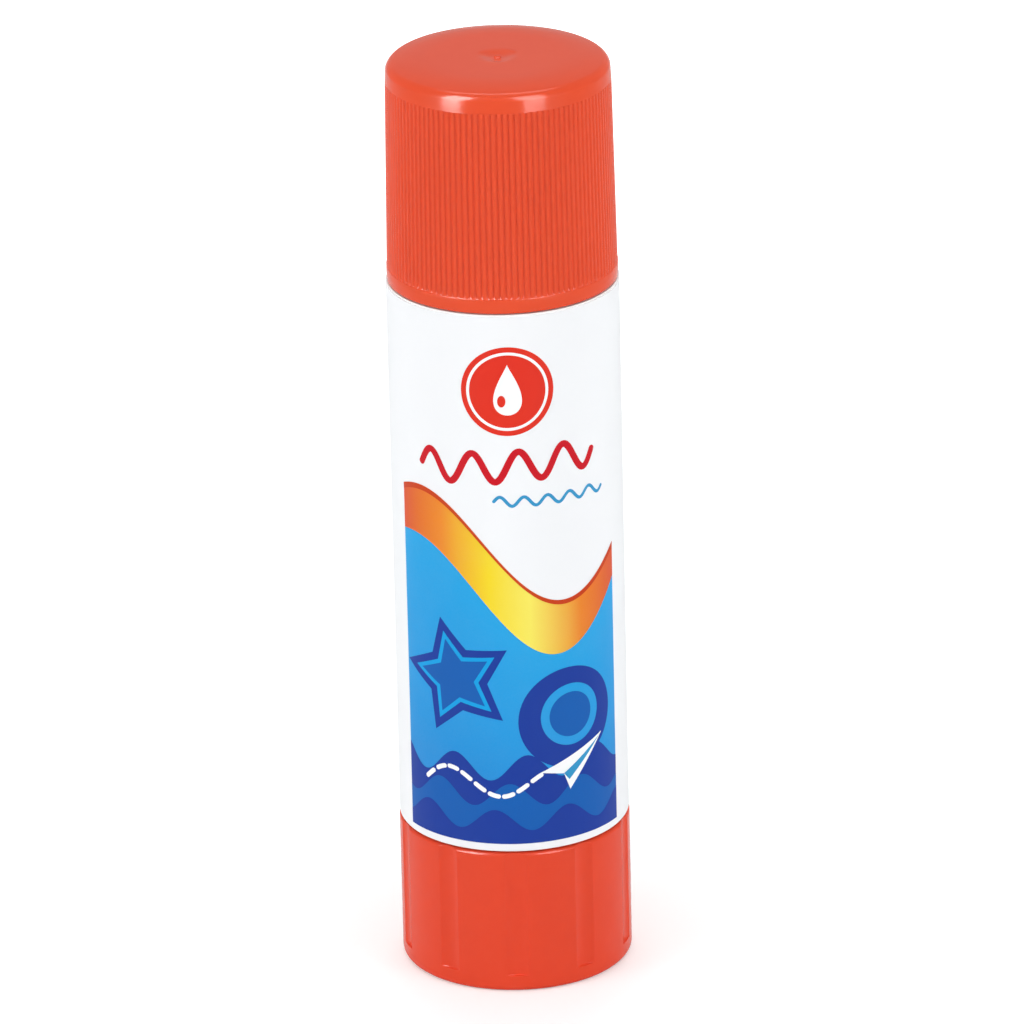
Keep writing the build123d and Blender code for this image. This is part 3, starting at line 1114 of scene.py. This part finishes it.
def makePrint():
    panel = printMake["panel"]
    half = panel["half"]
    foot = panel["foot"]
    columns = panel["columns"]
    band = printMake["band"]
    ink = {name: inkMaterial(name + "Ink", fromDisplay(*colour), fromDisplay(*dotColour), inkLook["screen"])
           for name, (colour, dotColour) in inks.items()}
    gold = rampMaterial("goldBlend", printMake["gold"], across=False)
    ground = rampMaterial("skyBlend", printMake["ground"])

    def bandEdge(across):
        return bandTop(across) - band["edge"] - band["edgeGrowth"] * abs(across) / half

    gridShape("printPanel", -half, half, lambda across: foot, bandFoot, columns, panel["rows"], 0, ground)
    gridShape("printBand", -half, half, bandFoot, bandTop, columns, band["rows"], 1, gold)
    gridShape("printBandEdge", -half, half, bandEdge, bandTop, columns, 1, 2, ink["edge"])
    clip = (-half, half, foot, panel["head"])
    # A star, a ring and waves, as if cut from paper
    star = printMake["star"]
    for layer, (name, outer, inner, shade) in enumerate(star["sheets"], 1):
        outline = starOutline(star["across"], star["up"], outer, inner, star["points"], star["turn"])
        cutShape("printStar" + name, [outline], layer, ink[shade], clip)
    ring = printMake["ring"]
    holeAcross = ring["across"] + ring["holeShift"]
    holeUp = ring["up"] + ring["holeShift"]
    cutShape("printRing", [ringOutline(ring["across"], ring["up"], ring["radius"]),
                           ringOutline(holeAcross, holeUp, ring["hole"])], 1, ink["dark"], clip)
    cutShape("printDisc", [ringOutline(holeAcross, holeUp, ring["disc"])], 1, ink["middle"], clip)
    rate = printMake["waveRate"]
    for index, (base, tall, shade, shift) in enumerate(printMake["waves"]):
        places = [tenth / 10 for tenth in range(int(-half * 10), int(half * 10) + 1, printMake["waveSample"])]
        top = [(across, base + tall * math.sin(across * rate + shift)) for across in places]
        outline = [(-half, foot)] + [(-half, top[0][1])] + top[1:-1] + [(half, top[-1][1]), (half, foot)]
        cutShape(f"printWave{index}", [outline], index + 2, ink[shade], clip)
    # A white paper plane with a dashed trail
    plane = printMake["plane"]
    for name, corners, layer, shade in (("printPlane", plane["body"], 5, "white"),
                                        ("printPlaneFold", plane["fold"], 6, "paleBlue")):
        outline = turnedOutline(corners, plane["across"], plane["up"], plane["turn"], plane["scale"])
        cutShape(name, [outline], layer, ink[shade], clip)
    trail = printMake["trail"]
    count = trail["dashes"] * trail["pitch"]
    line = []
    for step in range(count + 1):
        share = step / count
        swing = trail["swing"] * math.sin(share * trail["swingRate"])
        sag = trail["sag"] * (share - trail["sagAt"]) ** 2
        line.append((trail["start"] + trail["length"] * share, trail["up"] + swing - sag))
    first, last = trail["drawn"]
    for index in range(trail["dashes"]):
        dash = line[index * trail["pitch"] + first:index * trail["pitch"] + last]
        strokeShape(f"printTrail{index}", dash, trail["width"], 5, ink["white"])
    # A round badge with a drop, and under it a red flourish and a thin blue one
    badge = printMake["badge"]

    def badgeRing(radius):
        return ringOutline(badge["across"], badge["up"], radius, badge["count"])

    cutShape("printBadge", [badgeRing(badge["radius"])], 0, ink["badge"])
    outlines = [badgeRing(badge["ringOuter"]), badgeRing(badge["ringInner"])]
    cutShape("printBadgeRing", outlines, 1, ink["white"])
    drop = printMake["drop"]
    outline = dropOutline(badge["across"], drop["up"], drop["wide"], drop["tall"], drop["point"])
    cutShape("printDrop", [outline], 1, ink["white"])
    shine = printMake["dropShine"]
    outline = ringOutline(shine["across"], shine["up"], shine["radius"], shine["count"], shine["squash"])
    cutShape("printDropShine", [outline], 2, ink["badge"])
    makeFlourish("printFlourish", printMake["flourish"], ink["red"])
    makeFlourish("printFlourishThin", printMake["thinFlourish"], ink["paleBlue"])


makePrint()
print("label print made")
